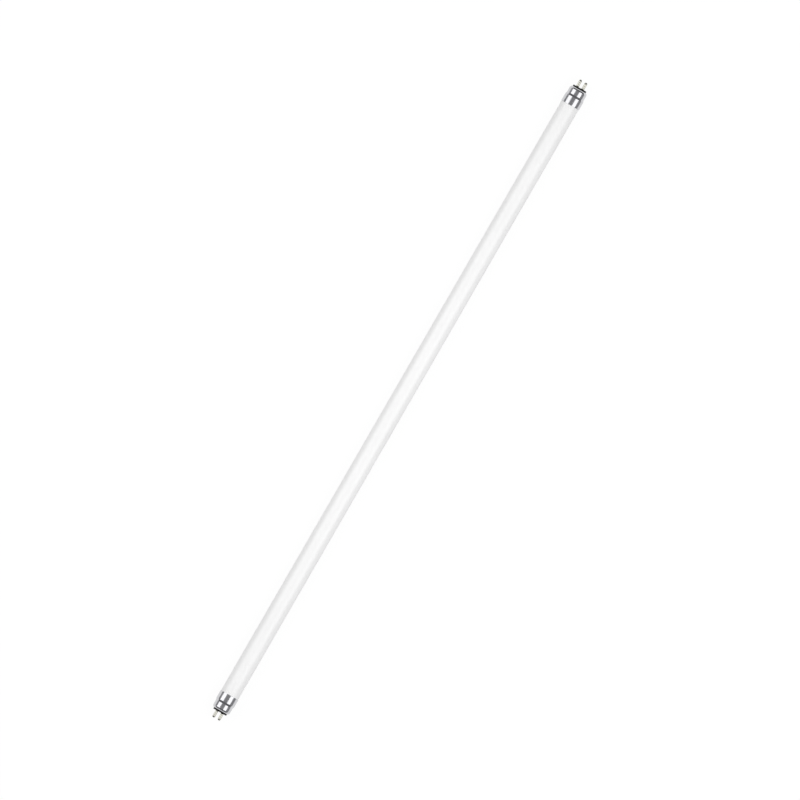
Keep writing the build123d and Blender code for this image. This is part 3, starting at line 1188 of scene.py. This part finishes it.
def softbox(name, side, nearest, furthest, length, glow, in_gloss=True):
    """A lamp beside or over the tube, between two angles from straight above, a metre away."""
    middle = radians((nearest + furthest) / 2)
    lamp = bpy.data.lights.new(name, "AREA")
    lamp.shape = "RECTANGLE"
    lamp.size = length
    lamp.size_y = 2 * tan(radians(furthest - nearest) / 2)
    lamp.energy = glow * pi * lamp.size * lamp.size_y
    holder = bpy.data.objects.new(name, lamp)
    holder.location = (0, side * sin(middle), cos(middle))
    holder.rotation_euler = (-side * middle, 0, 0)
    holder.visible_camera = False
    holder.visible_glossy = in_gloss
    bpy.context.scene.collection.objects.link(holder)


softbox("left_softbox", side=1, nearest=27.5, furthest=70, length=1.1, glow=1.36)
softbox("right_softbox", side=-1, nearest=20, furthest=59, length=1.1, glow=1.38)
softbox("top_fill", side=-1, nearest=-20, furthest=50, length=1.8, glow=0.45, in_gloss=False)


def glow_material(name, hex_colour):
    """A cloth that shows one even grey, however it is lit."""
    material = bpy.data.materials.new(name)
    material.use_nodes = True
    tree = material.node_tree
    tree.nodes.clear()
    glow = add_node(tree, "ShaderNodeEmission", {"Color": paint(hex_colour), "Strength": 1.0})
    add_node(tree, "ShaderNodeOutputMaterial", {"Surface": glow.outputs["Emission"]})
    return material


# The tent stands behind the lamps and round the paper, and only the metal and the gloss see it.
# Its line runs over the tube from one edge of the paper to the other, and its middle bay is paler
tent_reach = 1.4
tent_half_length = 2.0
tent_pale_half = 0.6
tent_step_degrees = 9
paper_half_width = 0.1
tent_round = [
    (tent_reach * sin(radians(angle)), tent_reach * cos(radians(angle)))
    for angle in range(-90, 91, tent_step_degrees)
]
tent_line = [(-paper_half_width, -SKIRT_R * MM), *tent_round, (paper_half_width, -SKIRT_R * MM)]
tent_stations = (-tent_half_length, -tent_pale_half, tent_pale_half, tent_half_length)
rows = len(tent_stations)
bays = rows - 1
tent_corners = [(x, y, z) for y, z in tent_line for x in tent_stations]
tent_faces = [
    (first + bay, first + bay + 1, first + rows + bay + 1, first + rows + bay)
    for bay in range(bays)
    for first in range(0, len(tent_corners) - rows, rows)
]
pale_faces = range(len(tent_faces) // bays, 2 * len(tent_faces) // bays)
tent_faces += [
    tuple(range(0, len(tent_corners), rows)),
    tuple(range(rows - 1, len(tent_corners), rows)),
]
tent_mesh = bpy.data.meshes.new("grey_tent")
tent_mesh.from_pydata(tent_corners, [], tent_faces)
tent_mesh.materials.append(glow_material("grey_tent", "#949496"))
tent_mesh.materials.append(glow_material("grey_tent_ends", "#727274"))
for face in tent_mesh.polygons:
    face.material_index = 0 if face.index in pale_faces else 1
tent = bpy.data.objects.new("grey_tent", tent_mesh)
tent.visible_camera = False
tent.visible_diffuse = False
tent.visible_transmission = False
tent.visible_shadow = False
bpy.context.scene.collection.objects.link(tent)


def seen_directly(tree):
    """1 for a camera, glossy or transmission ray, 0 for light that is on its way to a surface."""
    path = add_node(tree, "ShaderNodeLightPath").outputs
    mirror = add_node(
        tree,
        "ShaderNodeMath",
        {0: path["Is Glossy Ray"], 1: path["Is Transmission Ray"]},
        operation="MAXIMUM",
    )
    return add_node(
        tree,
        "ShaderNodeMath",
        {0: path["Is Camera Ray"], 1: mirror.outputs["Value"]},
        operation="MAXIMUM",
    ).outputs["Value"]


def pale_table():
    """Matt table that looks all but white, with a soft shadow under the tube."""
    material = bpy.data.materials.new("pale_table")
    material.use_nodes = True
    tree = material.node_tree
    tree.nodes.clear()
    seen = seen_directly(tree)
    paper = add_node(
        tree,
        "ShaderNodeMix",
        {"Factor_Float": seen, "A_Color": paint("#ADADAD"), "B_Color": paint("#4A4A4A")},
        data_type="RGBA",
    )
    lit = add_node(tree, "ShaderNodeBsdfDiffuse", {"Color": paper.outputs[2]})
    # Most of what the eye sees is one even white, and the lit rest takes the tube's shadow
    even_share = 0.94
    share = add_node(tree, "ShaderNodeMath", {0: seen, 1: even_share}, operation="MULTIPLY")
    even = add_node(
        tree,
        "ShaderNodeEmission",
        {"Color": paint("#FFFFFF"), "Strength": share.outputs["Value"]},
    )
    summed = add_node(
        tree, "ShaderNodeAddShader", {0: lit.outputs["BSDF"], 1: even.outputs["Emission"]}
    )
    add_node(tree, "ShaderNodeOutputMaterial", {"Surface": summed.outputs["Shader"]})
    return material


# The table's top lies 0.05 mm under the tube, so that the two share no face, and is 8 m wide
floor_gap = 0.05
half_floor = 4.0
floor_z = -(SKIRT_R + floor_gap) * MM
floor_mesh = bpy.data.meshes.new("floor")
floor_mesh.from_pydata(
    [(x * half_floor, y * half_floor, floor_z) for x, y in ((-1, -1), (1, -1), (1, 1), (-1, 1))],
    [],
    [(0, 1, 2, 3)],
)
floor_mesh.materials.append(pale_table())
floor = bpy.data.objects.new("floor", floor_mesh)
bpy.context.scene.collection.objects.link(floor)

# The room's light is a plain grey, and shows white to the eye and in gloss
world = bpy.data.worlds.new("studio")
bpy.context.scene.world = world
world.use_nodes = True
air_tree = world.node_tree
air_tree.nodes.clear()
air = add_node(
    air_tree,
    "ShaderNodeMix",
    {
        "Factor_Float": seen_directly(air_tree),
        "A_Color": paint("#B4B4B4"),
        "B_Color": paint("#FFFFFF"),
    },
    data_type="RGBA",
)
sky = add_node(air_tree, "ShaderNodeBackground", {"Color": air.outputs[2], "Strength": 1.0})
add_node(air_tree, "ShaderNodeOutputWorld", {"Surface": sky.outputs["Background"]})

bpy.context.scene.view_settings.view_transform = "Standard"
